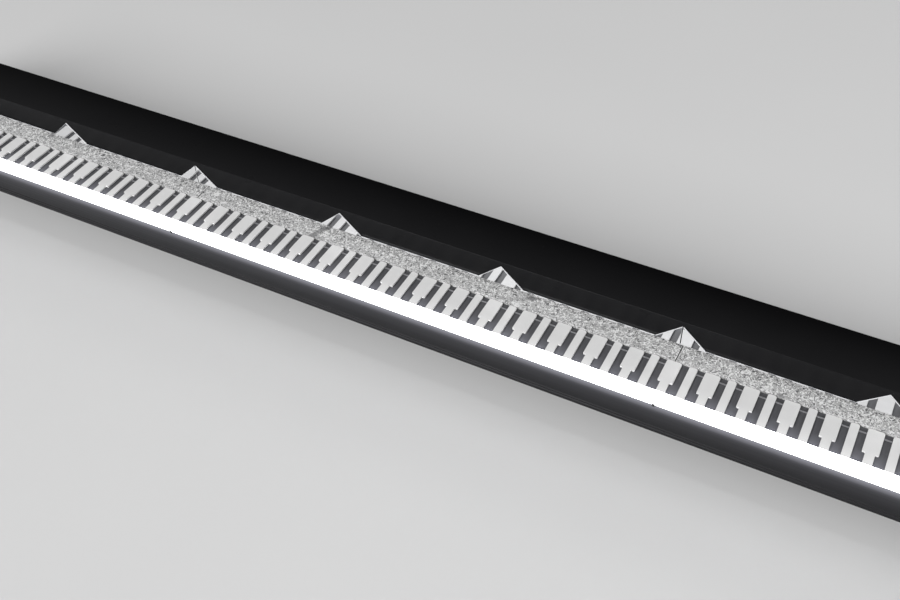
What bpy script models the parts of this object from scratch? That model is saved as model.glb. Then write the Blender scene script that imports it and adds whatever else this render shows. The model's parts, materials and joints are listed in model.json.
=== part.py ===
"""LED strip batten: a one metre lighting bar in three modules on two tilting floor brackets.

The bar lies along X. Its light strip faces -Y, and behind it a comb of frosted keys lies in one
level plane, then a zinc rail, and then a gloss black hood with a mirrored crown along its lip.
Sizes are in millimetres and become metres when a mesh is made. Section outlines are points
(y, z), with z counted from the key plane.
"""
import math

import bmesh
import bpy
from mathutils import Matrix, Vector

MM = 0.001

# Driving dimensions
LENGTH = 1000.0
MODULES = 3
KEYS_PER_MODULE = 30
CHIPS_PER_MODULE = 15
KEY_STEP = LENGTH / (MODULES * KEYS_PER_MODULE)
MODULE = LENGTH / MODULES
KEY_PLANE = 62.0
WALL = 2.0
FIT = 0.3
SEAM = 0.6
HALF = LENGTH / 2

# Comb of frosted keys
KEY_BACK = -0.2
KEY_FRONT = -25.1
KEY_THICK = 1.2
PADDLE_WIDTH = 8.7
PADDLE_LENGTH = 16.8
STEM_WIDTH = 5.1
BAR_WIDTH = 4.8
KEY_CORNER = 1.2
SHOULDER_CORNER = 0.7
SPINE_FRONT = -26.9
SPINE_BACK = -24.7

# Bands behind the keys
DECK_TOP = -KEY_THICK - FIT
DECK_BOTTOM = -3.0
SHELF = DECK_BOTTOM - FIT
RAIL_FRONT = 0.6
RAIL_BACK = 14.3
LIP_Y = 5.5
LIP_BOTTOM = 9.5
HOOD_TOP = 25.8
HOOD_EDGE = 0.2
BACK = 40.1
BOTTOM = -34.0

# Section of the light strip and of the housing under it
STRIP_FRONT = -28.6
STRIP_BOTTOM = -9.0
STRIP_WALL = 1.4
BOARD_FRONT = -25.4
BOARD_BACK = -24.4
CHIP_HALF = 1.7
FRONT = -27.0
TROUGH_BACK = -24.1
TROUGH_BOTTOM = -9.3
CORNER = 1.5
BOSS = 6.0
POST_FRONT = 14.6
POST_BACK = 37.8
POST_WIDTH = 7.0
POST_TOP = 23.5
POST_HEAD = 5.0
LEAD_HOLE_Z = -7.3

# Mirrored crown
CROWN_FRONT = 4.4
CROWN_THICK = 0.8
CROWN_BASE = 0.8
PEAK_HEIGHT = 13.7
PEAK_BASE = 28.3
PEAKS_PER_MODULE = 3

# Pivot and end parts
PIVOT_Y = 6.0
PIVOT_Z = -8.0
GASKET_X = HALF + FIT
GASKET_THICK = 1.0
CAP_X = GASKET_X + GASKET_THICK + FIT
CAP_THICK = 6.0
WASHER_X = CAP_X + CAP_THICK + FIT
WASHER_THICK = 2.0
ARM_X = WASHER_X + WASHER_THICK + FIT
ARM_THICK = 3.0
KNOB_X = ARM_X + ARM_THICK + FIT
CAP_LIP = 0.5
CAP_CORNER = 2.0
CAP_STEP = 4.0
ARM_FRONT = -26.0
ARM_BACK = 38.0
ARM_HEAD = 14.0
ARM_SHOULDER = 10.0
FOOT_REACH = 27.0
FOOT_LENGTH = 112.0
FOOT_CORNER = 4.0
SLOT_Y = 40.0
SLOT_HALF = 3.0
SLOT_RADIUS = 3.3
BOLT_RADIUS = 4.0
BOLT_HOLE = 4.4
BOLT_HEAD = 8.5
BOLT_HEAD_TOP = CAP_X + 3.0
BOLT_END = KNOB_X + 14.5
WASHER_RADIUS = 13.0
KNOB_LOBES = 6
KNOB_RADIUS = 16.5
LOBE_HEIGHT = 1.8
KNOB_COLLAR = 10.0
KNOB_COLLAR_LENGTH = 5.0
KNOB_LENGTH = 17.0
CAP_SCREWS = [(-22.0, -29.0), (35.1, -29.0), (19.1, 21.0), (33.3, 21.0)]

# Screws
SCREW_RADIUS = 1.5
SCREW_HOLE = 1.8
HEAD_RADIUS = 3.0
HEAD_HEIGHT = 1.7
HOOD_HEAD_HEIGHT = 1.8
POCKET_DEPTH = 2.4
SEAT_DEPTH = 1.9
HOOD_SCREW_Z = 12.0

# Rear controls, all on the middle line of the rear wall
PANEL_Z = (BOTTOM + SHELF) / 2
INLET_X = -455.0
SWITCH_X = -425.0
FUSE_X = -400.0
DIMMER_X = 415.0
OUTLET_X = 450.0
PANEL_FACE = BACK + FIT
SOCKET_HALF = (13.6, 10.0)
SOCKET_FLANGE = (16.0, 12.5)
SOCKET_RIM = 2.2
SOCKET_END = 22.0
MOUTH_HALF = (12.0, 8.0)
MOUTH_CORNER = 4.0
MOUTH_FLOOR = 26.0
PIN_PLACES = [(-7.0, -2.0), (0.0, 2.0), (7.0, -2.0)]
PIN_HALF = (1.0, 2.0)
PIN_TIP = 36.0
SLOT_IN_OUTLET = (1.3, 2.6)
SWITCH_HALF = (6.2, 9.3)
SWITCH_FLANGE = (7.7, 10.8)
SWITCH_RIM = 1.8
SWITCH_END = 24.0
WINDOW_HALF = (5.0, 8.2)
ROCKER_HALF = 4.6
ROCKER_AXIS_Y = 39.5
FUSE_RADIUS = 6.0
FUSE_FLANGE = 8.0
FUSE_BORE = 4.6
FUSE_STEM = 4.2
FUSE_CAP = 6.6
FUSE_RIM = 1.8
POT_RADIUS = 7.0
BUSH_RADIUS = 3.5
SHAFT_RADIUS = 2.0
DIAL_RADIUS = 9.0
DIAL_HEIGHT = 12.0

# Driver on its tray, as (x0, x1, y0, y1)
TRAY = (-190.0, 60.0, -14.0, 28.0)
COIL = (-100.0, -72.0, -6.0, 20.0)
TERMINALS = (-188.0, -172.0, -6.0, 18.0)
CAN_PLACES = (("input", -130.0), ("output", -30.0))
CAN_RADIUS = 7.0
CAN_Y = 7.0
BOARD_THICK = 1.6
BOARD_LIFT = 5.3
TALL_PIECE = 15.0

PALETTE = {
    "black_anodised": ((0.018, 0.018, 0.020), 0.42, 0.7),
    "gloss_black": ((0.010, 0.010, 0.012), 0.12, 0.0),
    "slate_deck": ((0.060, 0.065, 0.080), 0.35, 0.3),
    "frosted_acrylic": ((0.80, 0.81, 0.82), 0.45, 0.0),
    "opal_diffuser": ((0.95, 0.95, 0.96), 0.40, 0.0),
    "zinc_rail": ((0.52, 0.52, 0.52), 0.45, 0.8),
    "mirror_polish": ((0.85, 0.86, 0.87), 0.05, 1.0),
    "moulded_black": ((0.022, 0.022, 0.024), 0.50, 0.0),
    "rubber_seal": ((0.030, 0.030, 0.030), 0.80, 0.0),
    "bright_steel": ((0.60, 0.60, 0.62), 0.30, 1.0),
    "painted_steel": ((0.025, 0.025, 0.027), 0.55, 0.3),
    "board_white": ((0.78, 0.80, 0.78), 0.50, 0.0),
    "board_green": ((0.05, 0.22, 0.10), 0.50, 0.0),
    "heat_sink": ((0.55, 0.56, 0.58), 0.40, 1.0),
    "can_black": ((0.05, 0.05, 0.09), 0.40, 0.0),
    "winding_tape": ((0.65, 0.50, 0.10), 0.50, 0.0),
    "terminal_grey": ((0.45, 0.46, 0.47), 0.50, 0.0),
    "lead_sleeve": ((0.10, 0.10, 0.11), 0.55, 0.0),
    "switch_red": ((0.45, 0.02, 0.02), 0.30, 0.0),
}


def clear_scene():
    for old in list(bpy.data.objects):
        bpy.data.objects.remove(old, do_unlink=True)


def material(name):
    found = bpy.data.materials.get(name)
    if found:
        return found
    colour, roughness, metallic = PALETTE[name]
    made = bpy.data.materials.new(name)
    made.use_nodes = True
    shader = made.node_tree.nodes["Principled BSDF"]
    shader.inputs["Base Color"].default_value = (*colour, 1.0)
    shader.inputs["Roughness"].default_value = roughness
    shader.inputs["Metallic"].default_value = metallic
    return made


def to_object(bm, name, finish, smooth=False):
    """Close a bmesh into an object; round pieces are shaded smooth up to 35 degrees."""
    bmesh.ops.recalc_face_normals(bm, faces=bm.faces[:])
    mesh = bpy.data.meshes.new(name)
    bm.to_mesh(mesh)
    bm.free()
    if smooth:
        mesh.shade_smooth()
        mesh.set_sharp_from_angle(angle=math.radians(35))
    obj = bpy.data.objects.new(name, mesh)
    bpy.context.collection.objects.link(obj)
    if finish:
        mesh.materials.append(material(finish))
    return obj


def place(axis, a, b, along):
    """World point, in metres, of the plane point (a, b) at a distance along an axis."""
    orders = {"X": (along, a, b), "Y": (a, along, b), "Z": (a, b, along)}
    return Vector(orders[axis]) * MM


def add_prism(bm, outline, low, high, axis):
    """Extrude an outline between two places on an axis. The outline lies in the other two."""
    first = [bm.verts.new(place(axis, a, b, low)) for a, b in outline]
    last = [bm.verts.new(place(axis, a, b, high)) for a, b in outline]
    bm.faces.new(first)
    bm.faces.new(last[::-1])
    count = len(outline)
    for i in range(count):
        j = (i + 1) % count
        bm.faces.new((first[i], last[i], last[j], first[j]))


def prism(name, finish, outline, low, high, axis="X", smooth=False):
    bm = bmesh.new()
    add_prism(bm, outline, low, high, axis)
    return to_object(bm, name, finish, smooth)


def group(name, finish, parts, smooth=False):
    """One object of several separate prisms, each given as (outline, low, high, axis)."""
    bm = bmesh.new()
    for outline, low, high, axis in parts:
        add_prism(bm, outline, low, high, axis)
    return to_object(bm, name, finish, smooth)


def stepped(name, finish, centre, axis, count, steps):
    """A turned body through its steps, each (radius, place on the axis), with flat ends."""
    bm = bmesh.new()
    rings = []
    for radius, along in steps:
        outline = circle(*centre, radius, count)
        rings.append([bm.verts.new(place(axis, p, q, along)) for p, q in outline])
    for one, two in zip(rings, rings[1:]):
        for i in range(count):
            j = (i + 1) % count
            bm.faces.new((one[i], one[j], two[j], two[i]))
    bm.faces.new(rings[0][::-1])
    bm.faces.new(rings[-1])
    return to_object(bm, name, finish, smooth=True)


def rectangle(a0, a1, b0, b1):
    return [(a0, b0), (a1, b0), (a1, b1), (a0, b1)]


def about(a, b, half, extra=0.0):
    """A rectangle about (a, b) from its half sizes, with the same extra all round."""
    half_a, half_b = half
    return rectangle(a - half_a - extra, a + half_a + extra, b - half_b - extra, b + half_b + extra)


def circle(a, b, radius, count=16):
    turns = [2 * math.pi * i / count for i in range(count)]
    return [(a + radius * math.cos(t), b + radius * math.sin(t)) for t in turns]


def arc(a, b, radius, start, end, count):
    """Points of an arc about (a, b) from one angle to another, in degrees."""
    angles = [math.radians(start + (end - start) * i / count) for i in range(count + 1)]
    return [(a + radius * math.cos(t), b + radius * math.sin(t)) for t in angles]


def lift(outline):
    """Move a (y, z) outline from the key plane to its height over the floor."""
    return [(y, z + KEY_PLANE) for y, z in outline]


def boolean(target, tool, operation="DIFFERENCE"):
    """Cut or join a tool into a target, keep the result as its mesh, and drop the tool."""
    modifier = target.modifiers.new("shape", "BOOLEAN")
    modifier.object = tool
    modifier.operation = operation
    modifier.solver = "EXACT"
    graph = bpy.context.evaluated_depsgraph_get()
    result = bpy.data.meshes.new_from_object(target.evaluated_get(graph))
    target.modifiers.clear()
    old = target.data
    target.data = result
    bpy.data.meshes.remove(old)
    bpy.data.objects.remove(tool, do_unlink=True)


def cut(target, parts):
    boolean(target, group("cutter", None, parts))


def set_origin(obj, x, y, z):
    """Put the object's origin on its joint axis and leave its mesh where it is."""
    point = Vector((x, y, z)) * MM
    obj.data.transform(Matrix.Translation(-point))
    obj.location = point


def module_names():
    return ["left", "centre", "right"]


def module_span(index):
    start = -HALF + index * MODULE
    return start + SEAM / 2, start + MODULE - SEAM / 2


def module_centres():
    return [-HALF + MODULE * (i + 0.5) for i in range(MODULES)]


# Housing and hood

def housing():
    floor = BOTTOM + WALL
    under = SHELF - WALL
    head = POST_TOP - POST_HEAD
    front_wall = FRONT + WALL
    back_wall = BACK - WALL
    outline = [
        (POST_FRONT, POST_TOP), (POST_FRONT, SHELF), (TROUGH_BACK, SHELF),
        (TROUGH_BACK, TROUGH_BOTTOM), (FRONT, TROUGH_BOTTOM), (FRONT, BOTTOM + CORNER),
        (FRONT + CORNER, BOTTOM), (BACK - CORNER, BOTTOM), (BACK, BOTTOM + CORNER), (BACK, SHELF),
        (POST_BACK, SHELF), (POST_BACK, POST_TOP), (POST_BACK - POST_WIDTH, POST_TOP),
        (POST_BACK - POST_WIDTH, head), (POST_BACK - WALL, head), (POST_BACK - WALL, under),
        (back_wall, under), (back_wall, floor + BOSS), (back_wall - BOSS, floor + BOSS),
        (back_wall - BOSS, floor), (front_wall + BOSS, floor), (front_wall + BOSS, floor + BOSS),
        (front_wall, floor + BOSS), (front_wall, TROUGH_BOTTOM - WALL),
        (TROUGH_BACK + WALL, TROUGH_BOTTOM - WALL), (TROUGH_BACK + WALL, under),
        (POST_FRONT + WALL, under), (POST_FRONT + WALL, head), (POST_FRONT + POST_WIDTH, head),
        (POST_FRONT + POST_WIDTH, POST_TOP),
    ]
    body = prism("housing", "black_anodised", lift(outline), -HALF, HALF)
    z = PANEL_Z + KEY_PLANE
    shapes = [
        about(INLET_X, z, SOCKET_HALF, FIT), about(OUTLET_X, z, SOCKET_HALF, FIT),
        about(SWITCH_X, z, SWITCH_HALF, FIT), circle(FUSE_X, z, FUSE_RADIUS + FIT),
        circle(DIMMER_X, z, BUSH_RADIUS + FIT),
    ]
    cut(body, [(shape, back_wall - BOSS - 1, BACK + 1, "Y") for shape in shapes])
    holes = []
    for x in module_centres():
        hood_hole = circle(x, HOOD_SCREW_Z + KEY_PLANE, SCREW_HOLE, 12)
        holes.append((hood_hole, POST_BACK - WALL - 1, POST_BACK + 1, "Y"))
        lead_hole = circle(x, LEAD_HOLE_Z + KEY_PLANE, 1.5, 12)
        holes.append((lead_hole, TROUGH_BACK - 1, TROUGH_BACK + WALL + 1, "Y"))
    for y, screw_z in CAP_SCREWS:
        hole = circle(y, screw_z + KEY_PLANE, SCREW_HOLE, 12)
        holes.append((hole, -HALF - 1, -HALF + 12, "X"))
        holes.append((hole, HALF - 12, HALF + 1, "X"))
    cut(body, holes)


def hood():
    inner = HOOD_TOP - WALL
    outline = [
        (LIP_Y, LIP_BOTTOM), (LIP_Y + WALL, LIP_BOTTOM), (LIP_Y + WALL, inner),
        (BACK - WALL, inner), (BACK - WALL, SHELF + FIT), (BACK, SHELF + FIT),
        (BACK, HOOD_TOP - HOOD_EDGE), (BACK - HOOD_EDGE, HOOD_TOP),
        (LIP_Y + HOOD_EDGE, HOOD_TOP), (LIP_Y, HOOD_TOP - HOOD_EDGE),
    ]
    cover = prism("hood", "gloss_black", lift(outline), -HALF, HALF)
    z = HOOD_SCREW_Z + KEY_PLANE
    holes = [circle(x, z, SCREW_HOLE, 12) for x in module_centres()]
    cut(cover, [(hole, BACK - WALL - 1, BACK + 1, "Y") for hole in holes])


def deck_plate():
    outline = lift(rectangle(TROUGH_BACK - FIT, RAIL_FRONT - FIT, DECK_BOTTOM, DECK_TOP))
    prism("deck_plate", "slate_deck", outline, -HALF + FIT, HALF - FIT)


# Light strip

def diffuser_outline():
    """A U section: its top reaches back to the keys and its lower lip under the board."""
    top_lip = 0.6
    low_lip = 1.0
    soft = 0.7
    inner = STRIP_FRONT + STRIP_WALL
    return [
        (KEY_FRONT, 0.0), (STRIP_FRONT + soft, 0.0), (STRIP_FRONT + 0.2, -0.2),
        (STRIP_FRONT, -soft), (STRIP_FRONT, STRIP_BOTTOM + soft),
        (STRIP_FRONT + 0.2, STRIP_BOTTOM + 0.2), (STRIP_FRONT + soft, STRIP_BOTTOM),
        (BOARD_FRONT - FIT, STRIP_BOTTOM), (BOARD_FRONT - FIT, STRIP_BOTTOM + low_lip),
        (inner, STRIP_BOTTOM + low_lip), (inner, -top_lip), (KEY_FRONT, -top_lip),
    ]


def light_strip():
    chip_step = MODULE / CHIPS_PER_MODULE
    for index, side in enumerate(module_names()):
        x0, x1 = module_span(index)
        prism("diffuser_" + side, "opal_diffuser", lift(diffuser_outline()), x0, x1)
        outline = lift(rectangle(BOARD_FRONT, BOARD_BACK, -8.8, -3.6))
        board = prism("led_board_" + side, "board_white", outline, x0, x1)
        start = -HALF + index * MODULE + chip_step / 2
        chip = lift(rectangle(BOARD_FRONT - 1.3, BOARD_FRONT + 0.1, -7.2, -4.7))
        places = [start + i * chip_step for i in range(CHIPS_PER_MODULE)]
        chips = [(chip, x - CHIP_HALF, x + CHIP_HALF, "X") for x in places]
        boolean(board, group("chips", None, chips), "UNION")


# Comb of keys

def bar_outline(x):
    half = BAR_WIDTH / 2
    c = KEY_CORNER
    front = KEY_FRONT
    return [
        (x - half, front), (x + half, front), (x + half, KEY_BACK - c),
        (x + half - c, KEY_BACK), (x - half + c, KEY_BACK), (x - half, KEY_BACK - c),
    ]


def paddle_outline(x):
    half = PADDLE_WIDTH / 2
    stem = STEM_WIDTH / 2
    shoulder = KEY_BACK - PADDLE_LENGTH
    c = KEY_CORNER
    s = SHOULDER_CORNER
    right = [
        (stem, KEY_FRONT), (stem, shoulder), (half - s, shoulder), (half, shoulder + s),
        (half, KEY_BACK - c), (half - c, KEY_BACK),
    ]
    left = [(-a, b) for a, b in right[::-1]]
    return [(x + a, b) for a, b in right + left]


def combs():
    """Every comb is one moulding: its keys and the spine that takes the light in."""
    top = KEY_PLANE
    under = KEY_PLANE - KEY_THICK
    for index, side in enumerate(module_names()):
        first = index * KEYS_PER_MODULE + 1
        last = min(first + KEYS_PER_MODULE, MODULES * KEYS_PER_MODULE)
        keys = []
        for number in range(first, last):
            x = -HALF + number * KEY_STEP
            outline = bar_outline(x) if number % 2 else paddle_outline(x)
            keys.append((outline, under, top, "Z"))
        comb = group("comb_" + side, "frosted_acrylic", keys)
        low = -HALF + (first - 0.5) * KEY_STEP + FIT / 2
        high = -HALF + (last - 0.5) * KEY_STEP - FIT / 2
        spine = rectangle(low, high, SPINE_FRONT, SPINE_BACK)
        boolean(comb, group("spine", None, [(spine, top - 3.2, top - 0.9, "Z")]), "UNION")


# Zinc rail and mirrored crown

def rails():
    outline = lift(rectangle(RAIL_FRONT, RAIL_BACK, DECK_BOTTOM, 0.0))
    for index, side in enumerate(module_names()):
        x0, x1 = module_span(index)
        prism("rail_" + side, "zinc_rail", outline, x0, x1)


def crowns():
    base = LIP_BOTTOM + KEY_PLANE
    strip = base + CROWN_BASE
    tip = base + PEAK_HEIGHT
    half = PEAK_BASE / 2
    step = MODULE / PEAKS_PER_MODULE
    for index, side in enumerate(module_names()):
        x0, x1 = module_span(index)
        joint0 = x0 - SEAM / 2
        joint1 = x1 + SEAM / 2
        slope = (tip - strip) / half
        cut_tip = tip - slope * SEAM / 2
        outline = [(x0, base), (x1, base), (x1, cut_tip), (joint1 - half, strip)]
        for peak in range(PEAKS_PER_MODULE - 1, 0, -1):
            x = joint0 + peak * step
            outline += [(x + half, strip), (x, tip), (x - half, strip)]
        outline += [(joint0 + half, strip), (x0, cut_tip)]
        back = CROWN_FRONT + CROWN_THICK
        prism("crown_" + side, "mirror_polish", outline, CROWN_FRONT, back, "Y")


# Ends, pivots and brackets

def cap_outline(inset):
    """The bar's section with a lip all round, stepped down in front of the hood."""
    low = BOTTOM - CAP_LIP + inset
    front = STRIP_FRONT - CAP_LIP + inset
    back = BACK + CAP_LIP - inset
    top = HOOD_TOP + CAP_LIP - inset
    step_y = CROWN_FRONT - CAP_LIP + inset
    step_z = CAP_STEP - inset
    c = CAP_CORNER
    return lift([
        (front + c, low), (back - c, low), (back, low + c), (back, top - c), (back - c, top),
        (step_y + c, top), (step_y, top - c), (step_y, step_z + c), (step_y - c, step_z),
        (front + c, step_z), (front, step_z - c), (front, low + c),
    ])


def across(side, a, b):
    """Two places on X for the end at side -1 or 1, low one first."""
    return (a, b) if side > 0 else (-b, -a)


def cap_circles(radius, count=16):
    return [circle(y, z + KEY_PLANE, radius, count) for y, z in CAP_SCREWS]


def end_parts(word, side):
    """Gasket, end cap, pivot bolt and friction washer, from the housing outwards."""
    pivot = (PIVOT_Y, PIVOT_Z + KEY_PLANE)
    low, high = across(side, GASKET_X, GASKET_X + GASKET_THICK)
    gasket = prism("gasket_" + word, "rubber_seal", cap_outline(1.0), low, high)
    window = lift(rectangle(-17.0, 30.0, -31.0, -8.0))
    holes = cap_circles(SCREW_HOLE, 12) + [window]
    cut(gasket, [(hole, low - 1, high + 1, "X") for hole in holes])

    low, high = across(side, CAP_X, CAP_X + CAP_THICK)
    cap = prism("end_cap_" + word, "moulded_black", cap_outline(0.0), low, high)
    holes = cap_circles(SCREW_HOLE, 12) + [circle(*pivot, BOLT_HOLE, 20)]
    cut(cap, [(hole, low - 1, high + 1, "X") for hole in holes])
    low, high = across(side, CAP_X + CAP_THICK - POCKET_DEPTH, CAP_X + CAP_THICK + 1)
    pockets = [(hole, low, high, "X") for hole in cap_circles(HEAD_RADIUS + 0.5)]
    low, high = across(side, CAP_X - 1, BOLT_HEAD_TOP + FIT)
    cut(cap, pockets + [(circle(*pivot, BOLT_HEAD + 0.5, 24), low, high, "X")])

    stepped("pivot_bolt_" + word, "bright_steel", pivot, "X", 24, [
        (BOLT_HEAD, side * (CAP_X + FIT)), (BOLT_HEAD, side * BOLT_HEAD_TOP),
        (BOLT_RADIUS, side * BOLT_HEAD_TOP), (BOLT_RADIUS, side * BOLT_END),
    ])

    low, high = across(side, WASHER_X, WASHER_X + WASHER_THICK)
    disc = [(circle(*pivot, WASHER_RADIUS, 28), low, high, "X")]
    washer = group("friction_washer_" + word, "rubber_seal", disc, smooth=True)
    cut(washer, [(circle(*pivot, BOLT_HOLE, 20), low - 1, high + 1, "X")])


def bracket(word, side):
    """A bent steel plate: a tapered arm with a round head, and a foot under the bar."""
    y, z = PIVOT_Y, PIVOT_Z + KEY_PLANE
    head = arc(y, z, ARM_HEAD, -20.0, 200.0, 14)
    arm = [(ARM_FRONT, 0.0), (ARM_BACK, 0.0), (ARM_BACK, ARM_SHOULDER)] + head
    arm.append((ARM_FRONT, ARM_SHOULDER))
    low, high = across(side, ARM_X, ARM_X + ARM_THICK)
    plate = prism("bracket_" + word, "painted_steel", arm, low, high)
    free = side * (ARM_X - FOOT_REACH)
    bend = side * (ARM_X + ARM_THICK - 1.0)
    c = side * FOOT_CORNER
    end = FOOT_LENGTH / 2
    low_end = end - FOOT_CORNER
    foot = [
        (bend, ARM_FRONT), (bend - c, -low_end), (bend - 2 * c, -end), (free + c, -end),
        (free, -low_end), (free, low_end), (free + c, end), (bend - 2 * c, end),
        (bend - c, low_end), (bend, ARM_BACK),
    ]
    boolean(plate, group("foot", None, [(foot, 0.0, ARM_THICK, "Z")]), "UNION")
    slot_x = side * (ARM_X - FOOT_REACH / 2)
    slots = []
    for slot_y in (-SLOT_Y, SLOT_Y):
        back = arc(slot_x, slot_y + SLOT_HALF, SLOT_RADIUS, 0.0, 180.0, 6)
        front = arc(slot_x, slot_y - SLOT_HALF, SLOT_RADIUS, 180.0, 360.0, 6)
        slots.append((back + front, -1.0, ARM_THICK + 1.0, "Z"))
    cut(plate, slots)
    cut(plate, [(circle(y, z, BOLT_HOLE, 20), low - 1, high + 1, "X")])
    set_origin(plate, side * ARM_X, y, z)


def knob(word, side):
    """A six-lobed clamp knob on a round collar, with a blind bore for the bolt."""
    y, z = PIVOT_Y, PIVOT_Z + KEY_PLANE
    points = KNOB_LOBES * 8
    star = []
    for i in range(points):
        turn = 2 * math.pi * i / points
        radius = KNOB_RADIUS + LOBE_HEIGHT * math.cos(KNOB_LOBES * turn)
        star.append((y + radius * math.cos(turn), z + radius * math.sin(turn)))
    low, high = across(side, KNOB_X + KNOB_COLLAR_LENGTH, KNOB_X + KNOB_LENGTH)
    grip = group("clamp_knob_" + word, "moulded_black", [(star, low, high, "X")], True)
    low, high = across(side, KNOB_X, KNOB_X + KNOB_COLLAR_LENGTH + 1.0)
    collar = [(circle(y, z, KNOB_COLLAR, 24), low, high, "X")]
    boolean(grip, group("collar", None, collar, True), "UNION")
    low, high = across(side, KNOB_X - 1.0, BOLT_END + 0.5)
    cut(grip, [(circle(y, z, BOLT_HOLE, 20), low, high, "X")])
    set_origin(grip, side * KNOB_X, y, z)


# Screws

def screw(name, centre, free, seat, top, axis):
    """A pan head screw from the free end of its shank to the seat, then its head."""
    stepped(name, "bright_steel", centre, axis, 12, [
        (SCREW_RADIUS, free), (SCREW_RADIUS, seat), (HEAD_RADIUS, seat), (HEAD_RADIUS, top),
    ])


def screws():
    seat = CAP_X + CAP_THICK - SEAT_DEPTH
    top = seat + HEAD_HEIGHT
    for word, side in (("left", -1), ("right", 1)):
        for number, (y, z) in enumerate(CAP_SCREWS, 1):
            name = "cap_screw_%s_%d" % (word, number)
            screw(name, (y, z + KEY_PLANE), side * (HALF - 10.0), side * seat, side * top, "X")
    z = HOOD_SCREW_Z + KEY_PLANE
    free = POST_BACK - 3.8
    for word, x in zip(module_names(), module_centres()):
        screw("hood_screw_" + word, (x, z), free, PANEL_FACE, PANEL_FACE + HOOD_HEAD_HEIGHT, "Y")


# Rear controls

def snap_in(name, x, half, flange, rim, end):
    """A body through the rear wall, with a flange against the wall's outer side."""
    z = PANEL_Z + KEY_PLANE
    body = prism(name, "moulded_black", about(x, z, half), end, PANEL_FACE + 0.5, "Y")
    plate = [(about(x, z, flange), PANEL_FACE, PANEL_FACE + rim, "Y")]
    boolean(body, group("flange", None, plate), "UNION")
    return body


def pin_outlines(x, half):
    z = PANEL_Z + KEY_PLANE
    return [about(x + dx, z + dz, half) for dx, dz in PIN_PLACES]


def power_inlet():
    body = snap_in("power_inlet", INLET_X, SOCKET_HALF, SOCKET_FLANGE, SOCKET_RIM, SOCKET_END)
    x, z = INLET_X, PANEL_Z + KEY_PLANE
    a, b = MOUTH_HALF
    c = MOUTH_CORNER
    mouth = [
        (x - a, z - b), (x + a, z - b), (x + a, z + b - c), (x + a - c, z + b),
        (x - a + c, z + b), (x - a, z + b - c),
    ]
    cut(body, [(mouth, MOUTH_FLOOR, PANEL_FACE + 4, "Y")])
    pins = [(pin, MOUTH_FLOOR - 0.5, PIN_TIP, "Y") for pin in pin_outlines(x, PIN_HALF)]
    boolean(body, group("pins", None, pins), "UNION")


def power_outlet():
    body = snap_in("power_outlet", OUTLET_X, SOCKET_HALF, SOCKET_FLANGE, SOCKET_RIM, SOCKET_END)
    slots = pin_outlines(OUTLET_X, SLOT_IN_OUTLET)
    cut(body, [(slot, SOCKET_END + 8.0, PANEL_FACE + 4, "Y") for slot in slots])


def rocker_switch():
    bezel = snap_in("switch_bezel", SWITCH_X, SWITCH_HALF, SWITCH_FLANGE, SWITCH_RIM, SWITCH_END)
    x, z = SWITCH_X, PANEL_Z + KEY_PLANE
    window = about(x, z, WINDOW_HALF)
    cut(bezel, [(window, SWITCH_END + 9.0, PANEL_FACE + 4, "Y")])
    face = PANEL_FACE + 3.2
    back = ROCKER_AXIS_Y - 2.0
    rocker = [
        (back, z - 3.0), (back + 1.7, z - 6.8), (face - 2.6, z - 7.0), (face - 0.9, z),
        (face, z + 6.6), (back + 2.9, z + 6.9), (back, z + 3.0),
    ]
    body = prism("switch_rocker", "switch_red", rocker, x - ROCKER_HALF, x + ROCKER_HALF)
    set_origin(body, x, ROCKER_AXIS_Y, z)


def fuse_holder():
    centre = (FUSE_X, PANEL_Z + KEY_PLANE)
    holder = stepped("fuse_holder", "moulded_black", centre, "Y", 24, [
        (FUSE_RADIUS, 12.0), (FUSE_RADIUS, PANEL_FACE), (FUSE_FLANGE, PANEL_FACE),
        (FUSE_FLANGE, PANEL_FACE + FUSE_RIM),
    ])
    cut(holder, [(circle(*centre, FUSE_BORE, 20), 20.0, PANEL_FACE + 4, "Y")])
    under = PANEL_FACE + FUSE_RIM + FIT
    cap = stepped("fuse_cap", "moulded_black", centre, "Y", 24, [
        (FUSE_STEM, 34.0), (FUSE_STEM, under), (FUSE_CAP, under), (FUSE_CAP, under + 4.4),
    ])
    set_origin(cap, centre[0], PANEL_FACE, centre[1])


def dimmer():
    x, z = DIMMER_X, PANEL_Z + KEY_PLANE
    shoulder = BACK - WALL - FIT
    bush_end = PANEL_FACE + 2.0
    stepped("dimmer_pot", "bright_steel", (x, z), "Y", 24, [
        (POT_RADIUS, 28.0), (POT_RADIUS, shoulder), (BUSH_RADIUS, shoulder),
        (BUSH_RADIUS, bush_end), (SHAFT_RADIUS, bush_end), (SHAFT_RADIUS, bush_end + 7.0),
    ])
    low = bush_end + 0.4
    top = low + DIAL_HEIGHT
    disc = [(circle(x, z, DIAL_RADIUS, 32), low, top, "Y")]
    dial = group("dimmer_knob", "moulded_black", disc, smooth=True)
    cut(dial, [(circle(x, z, SHAFT_RADIUS + FIT, 12), low - 1, low + 7.5, "Y")])
    mark = rectangle(x - 0.5, x + 0.5, z + 3.0, z + 10.0)
    cut(dial, [(mark, top - 0.6, top + 1, "Y")])
    set_origin(dial, x, low, z)


# Driver and wiring inside

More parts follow.
